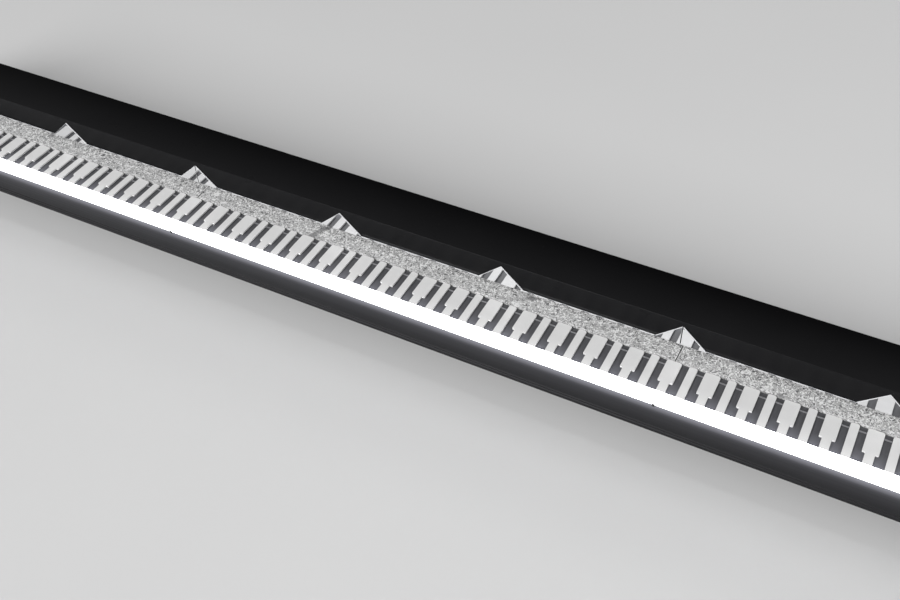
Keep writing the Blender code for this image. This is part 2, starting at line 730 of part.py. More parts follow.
def driver():
    floor = BOTTOM + WALL + FIT + KEY_PLANE
    board = floor + BOARD_LIFT
    seat = board + BOARD_THICK + FIT
    x0, x1, y0, y1 = TRAY
    tray = prism("driver_tray", "terminal_grey", rectangle(*TRAY), floor, floor + 1.5, "Z")
    spots = [(x, y) for x in (x0 + 10.0, (x0 + x1) / 2, x1 - 10.0) for y in (y0 + 5.0, y1 - 5.0)]
    posts = [(circle(x, y, 3.0, 12), floor + 1.0, board - FIT, "Z") for x, y in spots]
    boolean(tray, group("posts", None, posts), "UNION")
    prism("driver_board", "board_green", rectangle(*TRAY), board, board + BOARD_THICK, "Z")
    top = seat + TALL_PIECE
    prism("driver_transformer", "winding_tape", rectangle(*COIL), seat, top, "Z")
    for word, x in CAN_PLACES:
        can = circle(x, CAN_Y, CAN_RADIUS, 20)
        prism("capacitor_" + word, "can_black", can, seat, top, "Z", True)
    prism("driver_heat_sink", "heat_sink", heat_sink_outline(seat), -8.0, 22.0, "Y")
    prism("terminal_block", "terminal_grey", rectangle(*TERMINALS), seat, seat + 9.0, "Z")


def heat_sink_outline(seat):
    """A base with five upright fins, as points (x, z)."""
    fins = 5
    step = 6.0
    thick = 2.0
    start = 20.0
    outline = [(start, seat), (start + (fins - 1) * step + thick, seat)]
    for i in range(fins - 1, -1, -1):
        x = start + i * step
        outline += [(x + thick, seat + 13.0), (x, seat + 13.0)]
        if i:
            outline += [(x, seat + 3.0), (x - step + thick, seat + 3.0)]
    return outline


def lead(name, route, radius):
    """A sleeved lead that the housing holds all the way: a bevelled curve with filled ends."""
    curve = bpy.data.curves.new(name, "CURVE")
    curve.dimensions = "3D"
    curve.bevel_depth = radius * MM
    curve.bevel_resolution = 1
    curve.use_fill_caps = True
    points = smooth_route(route)
    spline = curve.splines.new("POLY")
    spline.points.add(len(points) - 1)
    for point, place_at in zip(spline.points, points):
        point.co = (*(place_at * MM), 1.0)
    obj = bpy.data.objects.new(name, curve)
    bpy.context.collection.objects.link(obj)
    curve.materials.append(material("lead_sleeve"))


def smooth_route(route, between=4):
    """Catmull-Rom points through a route's own points."""
    knots = [Vector(p) for p in route]
    knots = [2 * knots[0] - knots[1]] + knots + [2 * knots[-1] - knots[-2]]
    points = []
    for i in range(1, len(knots) - 2):
        p0, p1, p2, p3 = knots[i - 1:i + 3]
        for s in range(between):
            t = s / between
            points.append(0.5 * (2 * p1 + (p2 - p0) * t + (2 * p0 - 5 * p1 + 4 * p2 - p3) * t * t
                                 + (3 * p1 - p0 - 3 * p2 + p3) * t ** 3))
    points.append(knots[-2])
    return points


def wiring():
    z = PANEL_Z + KEY_PLANE
    low = BOTTOM + WALL + 3.0 + KEY_PLANE
    mains = [
        (INLET_X, 21.0, z), (INLET_X, 15.0, z), (INLET_X + 14.0, 6.0, low + 2), (-360.0, 3.0, low),
        (-290.0, 3.0, low), (-225.0, 5.0, low + 3), (-200.0, 6.0, low + 9), (-188.4, 6.0, low + 10),
    ]
    lead("mains_lead", mains, 2.4)
    hole = KEY_PLANE + LEAD_HOLE_Z
    left, centre, right = module_centres()
    lead("led_lead_left", [
        (left, TROUGH_BACK, hole), (left, -20.0, hole), (left + 8, -18.5, hole - 9),
        (-260.0, -18.0, hole - 12), (-100.0, -18.0, hole - 12), (40.0, -17.5, hole - 12),
        (68.0, -10.0, hole - 12), (70.0, 2.0, hole - 14),
    ], 0.8)
    lead("led_lead_centre", [
        (centre, TROUGH_BACK, hole), (centre, -20.0, hole), (centre + 8, -18.0, hole - 6),
        (40.0, -18.0, hole - 7), (70.0, -8.0, hole - 8), (74.0, 4.0, hole - 14),
    ], 0.8)
    lead("led_lead_right", [
        (right, TROUGH_BACK, hole), (right, -20.0, hole), (right - 8, -17.0, hole - 9),
        (250.0, -12.0, low), (150.0, -4.0, low), (95.0, 5.0, low + 4), (80.0, 7.0, low + 6),
    ], 0.8)


def build():
    clear_scene()
    housing()
    hood()
    deck_plate()
    light_strip()
    combs()
    rails()
    crowns()
    for word, side in (("left", -1), ("right", 1)):
        end_parts(word, side)
        bracket(word, side)
        knob(word, side)
    screws()
    power_inlet()
    power_outlet()
    rocker_switch()
    fuse_holder()
    dimmer()
    driver()
    wiring()


build()
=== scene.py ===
"""Looks of the LED strip batten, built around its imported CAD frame."""
import json
import math

import bmesh
import bpy
from mathutils import Matrix, Vector


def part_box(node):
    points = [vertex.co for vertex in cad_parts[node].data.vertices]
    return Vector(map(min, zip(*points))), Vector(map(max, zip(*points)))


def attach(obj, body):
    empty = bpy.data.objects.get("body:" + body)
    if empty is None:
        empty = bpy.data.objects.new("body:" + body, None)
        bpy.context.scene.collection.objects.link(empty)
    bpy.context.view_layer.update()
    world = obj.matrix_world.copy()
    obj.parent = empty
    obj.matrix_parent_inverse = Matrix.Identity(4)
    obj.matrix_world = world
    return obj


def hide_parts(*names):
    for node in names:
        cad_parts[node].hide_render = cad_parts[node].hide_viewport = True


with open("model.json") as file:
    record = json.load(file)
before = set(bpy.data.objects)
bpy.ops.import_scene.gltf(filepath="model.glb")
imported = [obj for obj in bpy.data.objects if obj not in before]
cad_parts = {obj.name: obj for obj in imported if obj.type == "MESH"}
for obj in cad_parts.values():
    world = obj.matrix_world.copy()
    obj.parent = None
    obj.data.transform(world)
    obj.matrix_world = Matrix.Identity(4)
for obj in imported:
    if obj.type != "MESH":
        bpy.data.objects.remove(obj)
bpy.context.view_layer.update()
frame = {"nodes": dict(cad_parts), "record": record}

MM = 0.001
SIDES = ("left", "centre", "right")
SLOT_OF = {part["node"]: part["material_slot"] for part in frame["record"]["subparts"]}
BODY_OF = {node: body for body, nodes in frame["record"]["behaviour"]["bodies"].items()
           for node in nodes}

SHARP = math.radians(35.0)

# Heights and edges that the CAD frame gives
KEY_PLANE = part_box("comb_left")[1].z
KEY_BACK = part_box("comb_left")[1].y
KEY_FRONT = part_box("diffuser_left")[1].y
DECK_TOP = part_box("deck_plate")[1].z
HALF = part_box("housing")[1].x
MODULE = 2 * HALF / len(SIDES)

# Keys: plain bars and paddles on narrower stems take turns
KEYS_PER_MODULE = 30
KEY_STEP = MODULE / KEYS_PER_MODULE
KEY_UNDER = DECK_TOP + 0.3 * MM
BAR_HALF = 2.4 * MM
PADDLE_HALF = 4.35 * MM
STEM_HALF = 2.55 * MM
SHOULDER = KEY_BACK - 16.8 * MM

# How far the light strip's spill reaches down the front
SPILL = 20 * MM

# Mains connectors: pins as (x, z) in mm from the middle
PIN_PLACES = ((-7.0, -2.0), (0.0, 2.0), (7.0, -2.0))

# Dimmer: the pointer's angle at full, and how far the dial turns, in degrees
FULL_TURN = 225.0
DIAL_SWEEP = 270.0
TICKS = 11


# Node materials

# Sockets of the Mix node when it mixes colours
MIX_FACTOR = 0
MIX_A = 6
MIX_B = 7
MIX_RESULT = 2


class Shader:
    """A Principled material whose nodes are added one at a time."""

    def __init__(self, name, **values):
        self.material = bpy.data.materials.new(name)
        self.material.use_nodes = True
        self.tree = self.material.node_tree
        self.surface = self.tree.nodes["Principled BSDF"]
        for key, value in values.items():
            self.set(key, value)

    def set(self, key, value):
        self.surface.inputs[key.replace("_", " ")].default_value = value

    def node(self, kind, **settings):
        node = self.tree.nodes.new("ShaderNode" + kind)
        for key, value in settings.items():
            if hasattr(node, key):
                setattr(node, key, value)
            else:
                node.inputs[key.replace("_", " ")].default_value = value
        return node

    def link(self, output, target):
        self.tree.links.new(output, target)

    def into(self, output, name):
        self.link(output, self.surface.inputs[name])

    def place(self, scale=(1, 1, 1), turn=(0, 0, 0)):
        """Object coordinates, stretched and turned."""
        coordinates = self.node("TexCoord")
        mapping = self.node("Mapping")
        mapping.inputs["Scale"].default_value = scale
        mapping.inputs["Rotation"].default_value = turn
        self.link(coordinates.outputs["Object"], mapping.inputs["Vector"])
        return mapping.outputs["Vector"]

    def noise(self, scale, detail=4.0, roughness=0.5, distortion=0.0, stretch=(1, 1, 1), turn=(0, 0, 0)):
        texture = self.node("TexNoise", Scale=scale, Detail=detail, Roughness=roughness,
                            Distortion=distortion)
        self.link(self.place(stretch, turn), texture.inputs["Vector"])
        return texture.outputs["Fac"]

    def cell_edges(self, scale, stretch=(1, 1, 1)):
        """Distance to the nearest edge between cells."""
        texture = self.node("TexVoronoi", Scale=scale, feature="DISTANCE_TO_EDGE")
        self.link(self.place(stretch), texture.inputs["Vector"])
        return texture.outputs["Distance"]

    def ramp(self, value, stops):
        """Colours between stops, each (place, colour or grey)."""
        ramp = self.node("ValToRGB")
        elements = ramp.color_ramp.elements
        for element, (at, colour) in zip(elements, stops[:2]):
            element.position = at
            element.color = grey(colour)
        for at, colour in stops[2:]:
            elements.new(at).color = grey(colour)
        self.link(value, ramp.inputs["Fac"])
        return ramp.outputs["Color"]

    def span(self, value, low, high, from_low=0.0, from_high=1.0):
        """A value taken from one range to another, and clamped to it."""
        span = self.node("MapRange", From_Min=from_low, From_Max=from_high, To_Min=low, To_Max=high)
        self.link(value, span.inputs["Value"])
        return span.outputs["Result"]

    def mix(self, factor, a, b):
        """One colour over another, by a factor that is always a socket."""
        mix = self.node("Mix", data_type="RGBA")
        self.link(factor, mix.inputs[MIX_FACTOR])
        for value, slot in ((a, MIX_A), (b, MIX_B)):
            if isinstance(value, bpy.types.NodeSocket):
                self.link(value, mix.inputs[slot])
            else:
                mix.inputs[slot].default_value = grey(value)
        return mix.outputs[MIX_RESULT]

    def bump(self, height, strength, distance):
        bump = self.node("Bump", Strength=strength, Distance=distance)
        self.link(height, bump.inputs["Height"])
        self.into(bump.outputs["Normal"], "Normal")

    def along(self, axis):
        """The object coordinate along one axis, in metres."""
        split = self.node("SeparateXYZ")
        self.link(self.place(), split.inputs["Vector"])
        return split.outputs[axis]


def grey(value):
    """A full colour from a grey level or from three channels."""
    if isinstance(value, (int, float)):
        return (value, value, value, 1.0)
    return (*value, 1.0)


def black_anodised():
    """Extruded aluminium, anodised black, with faint die lines and the light strip's spill in front."""
    s = Shader("black_anodised", Metallic=0.3, Specular_IOR_Level=0.25)
    lines = s.noise(900.0, 3.0, stretch=(0.004, 1, 1))
    cloud = s.noise(26.0, 4.0, 0.6)
    s.into(s.mix(cloud, (0.007, 0.007, 0.008), (0.014, 0.014, 0.016)), "Base Color")
    s.into(s.span(lines, 0.36, 0.52, 0.3, 0.7), "Roughness")
    s.bump(lines, 0.10, 0.00008)
    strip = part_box("diffuser_left")[0]
    below = s.span(s.along("Z"), 0.0, 1.0, strip.z - SPILL, strip.z)
    front = s.span(s.along("Y"), 1.0, 0.0, strip.y + 1.5 * MM, strip.y + 1.8 * MM)
    levels = [(20.0, 0.0), (16.0, 0.008), (12.3, 0.021), (9.5, 0.032), (7.5, 0.050), (6.0, 0.095),
              (4.3, 0.220), (3.0, 0.310), (2.0, 0.380), (0.0, 0.480)]
    fade = s.ramp(below, [(1.0 - drop * MM / SPILL, (level, level, 1.13 * level))
                          for drop, level in levels])
    s.into(s.mix(front, 0.0, fade), "Emission Color")
    s.set("Emission_Strength", 1.0)
    return s.material


def gloss_black():
    """Black acrylic with a soft gloss and faint dust, and painted light: a little paler towards the keys.
    """
    s = Shader("gloss_black", Coat_Weight=0.02, Coat_Roughness=0.06, Specular_IOR_Level=0.03)
    haze = s.noise(18.0, 5.0, 0.6)
    dust = s.noise(1400.0, 2.0)
    low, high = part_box("hood")
    # Painted light: the base is paler at the front by the keys and darker towards the back
    fade = s.span(s.along("Y"), 0.0, 1.0, low.y, high.y)
    base = s.mix(haze, (0.0070, 0.0070, 0.0075), (0.0100, 0.0100, 0.0106))
    base = s.mix(fade, base, (0.0015, 0.0015, 0.0017))
    specks = s.ramp(dust, [(0.72, 0.0), (0.80, 1.0)])
    s.into(s.mix(specks, base, (0.03, 0.03, 0.031)), "Base Color")
    s.into(s.span(haze, 0.26, 0.36, 0.3, 0.7), "Roughness")
    wave = s.noise(7.0, 2.0, stretch=(0.4, 1, 1))
    s.bump(wave, 0.03, 0.0006)
    return s.material


def slate_deck():
    """Slate grey plate with painted light from the light strip: lighter and bluer towards it."""
    s = Shader("slate_deck", Specular_IOR_Level=0.3)
    run = s.span(s.along("Y"), 0.0, 1.0, KEY_BACK, KEY_FRONT)
    # Painted light: the plate's colour brightens and turns bluer towards the light strip
    lit = s.ramp(run, [(0.0, (0.060, 0.060, 0.064)), (0.55, (0.077, 0.077, 0.084)),
                       (0.78, (0.120, 0.121, 0.136)), (1.0, (0.190, 0.192, 0.220))])
    fine = s.noise(1100.0, 4.0, 0.6, stretch=(1, 0.12, 1))
    cloud = s.noise(45.0, 3.0)
    toned = s.mix(s.span(cloud, 0.0, 0.22), lit, (0.055, 0.055, 0.060))
    s.into(s.mix(s.span(fine, 0.0, 0.25, 0.35, 0.75), toned, (0.15, 0.15, 0.16)), "Base Color")
    s.into(s.span(fine, 0.48, 0.62), "Roughness")
    s.bump(fine, 0.12, 0.00008)
    return s.material


def frosted_acrylic():
    """Frosted keys that glow faintly, most beside the light strip and at their far ends."""
    s = Shader("frosted_acrylic", Roughness=0.50, IOR=1.49, Emission_Strength=0.10)
    run = s.span(s.along("Y"), 0.0, 1.0, KEY_BACK, KEY_FRONT)
    cloud = s.noise(110.0, 4.0, 0.55)
    frost = s.noise(2600.0, 3.0, 0.6)
    base = s.mix(cloud, (0.590, 0.590, 0.588), (0.665, 0.663, 0.660))
    s.into(s.mix(s.span(frost, 0.0, 0.20, 0.3, 0.8), base, (0.42, 0.42, 0.43)), "Base Color")
    glow = s.ramp(run, [(0.0, 0.95), (0.14, 0.55), (0.55, 0.48), (0.85, 0.90), (1.0, 1.40)])
    s.into(glow, "Emission Color")
    s.bump(frost, 0.18, 0.00006)
    return s.material


def bright_edge():
    """Edge of the mirrored sheet with a painted highlight: a pale base and a faint glow stand in for the
    light a polished edge catches.
    """
    s = Shader("bright_edge", Roughness=0.35, Emission_Strength=0.15)
    streaks = s.noise(900.0, 3.0)
    # Painted highlight: pale streaked colour and a faint glow
    s.into(s.mix(streaks, (0.55, 0.56, 0.58), (0.80, 0.81, 0.82)), "Base Color")
    s.into(s.mix(streaks, (0.6, 0.6, 0.62), (1.0, 1.0, 1.0)), "Emission Color")
    return s.material


def opal_diffuser():
    """Opal strip, evenly lit cool white."""
    s = Shader("opal_diffuser", Roughness=0.35, Emission_Strength=5.0)
    run = s.noise(60.0, 2.0, stretch=(1, 0.2, 0.2))
    s.into(s.mix(run, (0.88, 0.89, 0.90), (0.93, 0.94, 0.95)), "Base Color")
    s.into(s.mix(run, (0.93, 0.95, 1.0), (1.0, 1.0, 1.0)), "Emission Color")
    s.bump(s.noise(1800.0, 2.0), 0.05, 0.00005)
    return s.material


def zinc_rail():
    """Spangled zinc strip: curled light and dark flecks a millimetre long, and a few smudges."""
    s = Shader("zinc_rail", Specular_IOR_Level=0.3)
    light = s.noise(520.0, 1.5, 0.5, 1.8)
    dark = s.noise(580.0, 2.0, 0.5, 1.4, turn=(0, 0, 0.9))
    grains = s.noise(1500.0, 2.0, 0.6)
    patches = s.noise(75.0, 3.0, 0.5, 0.5)
    base = s.mix(s.span(patches, 0.0, 1.0, 0.35, 0.65), (0.37, 0.37, 0.37), (0.47, 0.47, 0.47))
    base = s.mix(s.span(grains, 0.0, 0.8, 0.38, 0.62), base, (0.60, 0.60, 0.60))
    flecks = s.ramp(dark, [(0.41, 1.0), (0.46, 0.0)])
    base = s.mix(s.span(flecks, 0.0, 0.95), base, (0.060, 0.061, 0.065))
    flecks = s.ramp(light, [(0.52, 0.0), (0.56, 1.0)])
    base = s.mix(s.span(flecks, 0.0, 0.92), base, (0.96, 0.96, 0.96))
    smudges = s.ramp(s.noise(52.0, 1.0, 0.4, 0.8), [(0.70, 0.0), (0.76, 1.0)])
    base = s.mix(s.span(smudges, 0.0, 0.7), base, (0.12, 0.12, 0.125))
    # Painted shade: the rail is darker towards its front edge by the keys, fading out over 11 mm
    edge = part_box("rail_left")[0].y
    painted_front_shade = s.span(s.along("Y"), 0.35, 0.0, edge, edge + 11.0 * MM)
    s.into(s.mix(painted_front_shade, base, (0.26, 0.26, 0.26)), "Base Color")
    s.into(s.span(light, 0.62, 0.42, 0.3, 0.7), "Roughness")
    s.bump(dark, 0.25, 0.00008)
    return s.material


def mirror_polish():
    """Mirror polished trim with a few fine wipe marks."""
    s = Shader("mirror_polish", Metallic=1.0)
    wipe = s.noise(260.0, 4.0, 0.6, stretch=(0.1, 1, 1), turn=(0, 0.5, 0))
    s.into(s.mix(wipe, (0.84, 0.85, 0.86), (0.92, 0.92, 0.93)), "Base Color")
    s.into(s.span(wipe, 0.01, 0.05, 0.35, 0.75), "Roughness")
    return s.material


def moulded_black():
    """Black moulding with a fine spark texture."""
    s = Shader("moulded_black")
    grain = s.noise(1900.0, 3.0, 0.6)
    cloud = s.noise(30.0, 3.0)
    s.into(s.mix(cloud, (0.018, 0.018, 0.020), (0.032, 0.032, 0.034)), "Base Color")
    s.into(s.span(grain, 0.44, 0.62, 0.3, 0.7), "Roughness")
    s.bump(grain, 0.45, 0.00010)
    return s.material


def painted_steel():
    """Black powder coat with its orange peel."""
    s = Shader("painted_steel", Specular_IOR_Level=0.5)
    peel = s.noise(520.0, 2.0, 0.4)
    cloud = s.noise(20.0, 4.0)
    s.into(s.mix(cloud, (0.018, 0.018, 0.019), (0.030, 0.030, 0.032)), "Base Color")
    s.into(s.span(cloud, 0.40, 0.55, 0.3, 0.7), "Roughness")
    s.bump(peel, 0.35, 0.00018)
    return s.material


def rubber_seal():
    s = Shader("rubber_seal")
    grain = s.noise(800.0, 4.0)
    s.into(s.mix(grain, (0.020, 0.020, 0.020), (0.036, 0.036, 0.037)), "Base Color")
    s.into(s.span(grain, 0.70, 0.88), "Roughness")
    s.bump(grain, 0.30, 0.0001)
    return s.material


def bright_steel():
    """Zinc plated steel with turning marks."""
    s = Shader("bright_steel", Metallic=1.0)
    marks = s.noise(1300.0, 3.0, stretch=(1, 0.3, 1))
    s.into(s.mix(marks, (0.46, 0.47, 0.50), (0.62, 0.62, 0.64)), "Base Color")
    s.into(s.span(marks, 0.22, 0.40), "Roughness")
    s.bump(marks, 0.08, 0.00006)
    return s.material


def brass():
    s = Shader("brass", Metallic=1.0)
    marks = s.noise(1500.0, 3.0, stretch=(1, 0.2, 1))
    s.into(s.mix(marks, (0.62, 0.46, 0.20), (0.76, 0.60, 0.30)), "Base Color")
    s.into(s.span(marks, 0.20, 0.36), "Roughness")
    return s.material


def board(name, dark, light, traces):
    """Solder resist over copper traces."""
    s = Shader(name, Roughness=0.35)
    tracks = s.cell_edges(220.0, stretch=(0.5, 1, 1))
    lines = s.ramp(tracks, [(0.04, 1.0), (0.08, 0.0)])
    body = s.mix(s.noise(60.0, 3.0), dark, light)
    s.into(s.mix(lines, body, traces), "Base Color")
    s.bump(lines, 0.2, 0.00005)
    return s.material


def moulding(name, dark, light, roughness):
    """Plain coloured moulding with a fine grain."""
    s = Shader(name)
    grain = s.noise(1200.0, 3.0)
    s.into(s.mix(s.noise(40.0, 3.0), dark, light), "Base Color")
    s.into(s.span(grain, roughness - 0.05, roughness + 0.08), "Roughness")
    s.bump(grain, 0.15, 0.00006)
    return s.material


def pale_floor():
    s = Shader("pale_floor", Roughness=0.7)
    cloud = s.noise(3.0, 4.0)
    s.into(s.mix(cloud, (0.50, 0.50, 0.50), (0.53, 0.53, 0.53)), "Base Color")
    return s.material


MATERIALS = {
    "black_anodised": black_anodised(),
    "gloss_black": gloss_black(),
    "slate_deck": slate_deck(),
    "frosted_acrylic": frosted_acrylic(),
    "opal_diffuser": opal_diffuser(),
    "zinc_rail": zinc_rail(),
    "mirror_polish": mirror_polish(),
    "moulded_black": moulded_black(),
    "rubber_seal": rubber_seal(),
    "bright_steel": bright_steel(),
    "painted_steel": painted_steel(),
    "board_white": board("board_white", (0.70, 0.72, 0.70), (0.78, 0.79, 0.77), (0.60, 0.62, 0.60)),
    "board_green": board("board_green", (0.02, 0.13, 0.05), (0.03, 0.17, 0.07), (0.08, 0.30, 0.13)),
    "heat_sink": moulding("heat_sink", (0.46, 0.47, 0.49), (0.56, 0.57, 0.59), 0.35),
    "can_black": moulding("can_black", (0.03, 0.03, 0.07), (0.05, 0.05, 0.10), 0.30),
    "winding_tape": moulding("winding_tape", (0.55, 0.40, 0.06), (0.68, 0.52, 0.10), 0.40),
    "terminal_grey": moulding("terminal_grey", (0.36, 0.37, 0.38), (0.46, 0.47, 0.48), 0.45),
    "lead_sleeve": moulding("lead_sleeve", (0.07, 0.07, 0.075), (0.11, 0.11, 0.115), 0.50),
    "switch_red": moulding("switch_red", (0.36, 0.012, 0.012), (0.48, 0.02, 0.02), 0.22),
    "smoked_tie": moulding("smoked_tie", (0.17, 0.17, 0.18), (0.22, 0.22, 0.23), 0.40),
    "bright_edge": bright_edge(),
    "brass": brass(),
}


# Pieces

def finished(bm, name, material):
    """Turn a bmesh into an object with smooth round faces and sharp corners."""
    bmesh.ops.recalc_face_normals(bm, faces=bm.faces[:])
    mesh = bpy.data.meshes.new(name)
    bm.to_mesh(mesh)
    bm.free()
    mesh.shade_smooth()
    mesh.set_sharp_from_angle(angle=SHARP)
    if material:
        mesh.materials.append(material)
    obj = bpy.data.objects.new(name, mesh)
    bpy.context.scene.collection.objects.link(obj)
    return obj


def settle(obj):
    """Keep what an object's modifiers make as its own mesh."""
    graph = bpy.context.evaluated_depsgraph_get()
    result = bpy.data.meshes.new_from_object(obj.evaluated_get(graph))
    obj.modifiers.clear()
    obj.data = result


def flatten_shading(obj):
    """Large faces keep their own normal, and only the small edge faces blend between them."""
    obj.data.shade_smooth()
    obj.data.set_sharp_from_angle(angle=SHARP)
    modifier = obj.modifiers.new("shading", "WEIGHTED_NORMAL")
    modifier.keep_sharp = True
    settle(obj)


def bevel(obj, width, segments=2, angle=30.0, material=-1):
    """Round the edges that are sharper than an angle; material -1 keeps each face's own."""
    modifier = obj.modifiers.new("edges", "BEVEL")
    modifier.material = material
    modifier.width = width
    modifier.segments = segments
    modifier.limit_method = "ANGLE"
    modifier.angle_limit = math.radians(angle)
    settle(obj)
    flatten_shading(obj)


def boolean(target, parts, operation="DIFFERENCE"):
    """Cut several prisms out of an object, or join them to it."""
    other = prisms("other", None, parts)
    modifier = target.modifiers.new("shape", "BOOLEAN")
    modifier.object = other
    modifier.operation = operation
    settle(target)
    bpy.data.objects.remove(other, do_unlink=True)


def stands_for(obj, node):
    """The piece takes a CAD node's place and body: the node is hidden and the piece rides on its body."""
    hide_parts(node)
    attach(obj, BODY_OF[node])


def trim(obj, body):
    """A small extra piece that rides on a body."""
    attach(obj, body)


def cad_shape(node):
    """A bmesh of a CAD node's own shape, its flat faces whole again."""
    bm = bmesh.new()
    bm.from_mesh(frame["nodes"][node].data)
    bmesh.ops.remove_doubles(bm, verts=bm.verts[:], dist=2e-6)
    flat = math.radians(1.0)
    bmesh.ops.dissolve_limit(bm, angle_limit=flat, verts=bm.verts[:], edges=bm.edges[:])
    return bm


def copied(node):
    """A CAD node's own shape as a new object in the node's finish."""
    return finished(cad_shape(node), node + "_finished", MATERIALS[SLOT_OF[node]])


def softened(node, width, segments=2):
    """A CAD node's own shape with its edges rounded as real ones are."""
    obj = copied(node)
    bevel(obj, width, segments)
    stands_for(obj, node)


def plane_point(axis, a, b, along):
    """A point at (a, b) across an axis, and some way along it."""
    orders = {"X": (along, a, b), "Y": (a, along, b), "Z": (a, b, along)}
    return Vector(orders[axis])


def add_prism(bm, outline, low, high, axis):
    """An outline carried along an axis from one place to another."""
    first = [bm.verts.new(plane_point(axis, a, b, low)) for a, b in outline]
    last = [bm.verts.new(plane_point(axis, a, b, high)) for a, b in outline]
    bm.faces.new(first)
    bm.faces.new(last[::-1])
    for i in range(len(outline)):
        j = (i + 1) % len(outline)
        bm.faces.new((first[i], last[i], last[j], first[j]))


def arc(a, b, radius, start, end, count):
    """Points of an arc about (a, b), between two angles in degrees."""
    angles = [math.radians(start + (end - start) * i / count) for i in range(count + 1)]
    return [(a + radius * math.cos(t), b + radius * math.sin(t)) for t in angles]


def rectangle(a0, a1, b0, b1):
    return [(a0, b0), (a1, b0), (a1, b1), (a0, b1)]


def rounded(a, b, half_a, half_b, radius, count=6):
    """A rectangle about (a, b) with round corners."""
    points = []
    for sign_a, sign_b, start in ((1, 1, 0), (-1, 1, 90), (-1, -1, 180), (1, -1, 270)):
        centre_a = a + sign_a * (half_a - radius)
        centre_b = b + sign_b * (half_b - radius)
        points += arc(centre_a, centre_b, radius, start, start + 90, count)
    return points


def prisms(name, material, parts):
    """One object of several prisms, each (outline, low, high, axis)."""
    bm = bmesh.new()
    for outline, low, high, axis in parts:
        add_prism(bm, outline, low, high, axis)
    return finished(bm, name, material)


def prism(name, material, outline, low, high, axis):
    return prisms(name, material, [(outline, low, high, axis)])


def join_rings(bm, one, two):
    """Faces between two rings of a turned body; a ring of one point is a tip on the axis."""
    count = max(len(one), len(two))
    if count == 1:
        return
    for i in range(count):
        j = (i + 1) % count
        corners = [one[i % len(one)], one[j % len(one)], two[j % len(two)], two[i % len(two)]]
        bm.faces.new(list(dict.fromkeys(corners)))


def turned(name, material, centre, axis, base, sense, profile, count=64, lobes=0, closed=False):
    """A turned body. Profile points are (radius, distance out) in mm, and may add a lobe height."""
    bm = bmesh.new()
    rings = []
    for radius, out, *wave in profile:
        along = base + sense * out * MM
        lobe = wave[0] if wave else 0.0
        ring = []
        for i in range(count if radius else 1):
            turn = 2 * math.pi * i / count
            reach = (radius + lobe * math.cos(lobes * turn)) * MM
            a = centre[0] + reach * math.cos(turn)
            b = centre[1] + reach * math.sin(turn)
            ring.append(bm.verts.new(plane_point(axis, a, b, along)))
        rings.append(ring)
    if closed:
        rings.append(rings[0])
    for one, two in zip(rings, rings[1:]):
        join_rings(bm, one, two)
    obj = finished(bm, name, material)
    flatten_shading(obj)
    return obj


def middle(node):
    low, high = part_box(node)
    return (low + high) / 2


# Comb of keys

def key_outline(x, half, stem=None, shoulder=None):
    """A key about x with round far corners: a plain bar, or a paddle on a narrower stem."""
    corner_radius = 1.15 * MM
    turn_radius = 0.5 * MM
    right = arc(half - corner_radius, KEY_BACK - corner_radius, corner_radius, 0, 90, 5)
    if stem is None:
        right = [(half, KEY_FRONT)] + right
    else:
        inner = arc(stem + turn_radius, shoulder - turn_radius, turn_radius, 180, 90, 3)
        outer = arc(half - turn_radius, shoulder + turn_radius, turn_radius, -90, 0, 3)
        right = [(stem, KEY_FRONT)] + inner + outer + right
    left = [(-a, b) for a, b in right[::-1]]
    return [(x + a, b) for a, b in right + left]


def comb(index, side):
    """Keys and the spine that joins them at the light strip, and a smoked tie under their far ends."""
    node = "comb_" + side
    low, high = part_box(node)
    first = index * KEYS_PER_MODULE + 1
    last = min(first + KEYS_PER_MODULE, len(SIDES) * KEYS_PER_MODULE)
    keys = []
    for number in range(first, last):
        x = -HALF + number * KEY_STEP
        if number % 2:
            outline = key_outline(x, BAR_HALF)
        else:
            outline = key_outline(x, PADDLE_HALF, STEM_HALF, SHOULDER)
        keys.append((outline, KEY_UNDER, KEY_PLANE, "Z"))
    obj = prisms(node + "_finished", MATERIALS["frosted_acrylic"], keys)
    spine = rectangle(low.x, high.x, low.y, KEY_FRONT + 0.4 * MM)
    boolean(obj, [(spine, low.z, KEY_PLANE - 0.9 * MM, "Z")], "UNION")
    bevel(obj, 0.16 * MM, 2, 50.0)
    stands_for(obj, node)

    gaps = []
    tie = KEY_BACK - 3.7 * MM
    tie_half = 0.3 * MM
    for number in range(first, last - 1):
        x = -HALF + number * KEY_STEP
        here, beyond = (BAR_HALF, PADDLE_HALF) if number % 2 else (PADDLE_HALF, BAR_HALF)
        gap = rectangle(x + here, x + KEY_STEP - beyond, tie - tie_half, tie + tie_half)
        gaps.append((gap, KEY_UNDER + 0.05 * MM, KEY_PLANE - 0.5 * MM, "Z"))
    ties = prisms("comb_ties_" + side, MATERIALS["smoked_tie"], gaps)
    trim(ties, "bar")


# Light strip

def diffuser(side):
    """The opal strip: a U section with a rounded nose, closed up to its neighbour."""
    node = "diffuser_" + side
    low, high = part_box(node)
    seam = 0.25 * MM
    nose = 1.1 * MM
    lip = 0.6 * MM
    inner = low.y + 1.35 * MM
    floor = low.z + 1.0 * MM
    outline = [(high.y, high.z)]
    outline += arc(low.y + nose, high.z - nose, nose, 90, 180, 6)
    outline += arc(low.y + nose, low.z + nose, nose, 180, 270, 6)
    outline += [(high.y - lip, low.z), (high.y - lip, floor), (inner, floor),
                (inner, high.z - lip), (high.y, high.z - lip)]
    strip = prism(node + "_finished", MATERIALS["opal_diffuser"], outline, low.x - seam, high.x + seam, "X")
    flatten_shading(strip)
    stands_for(strip, node)


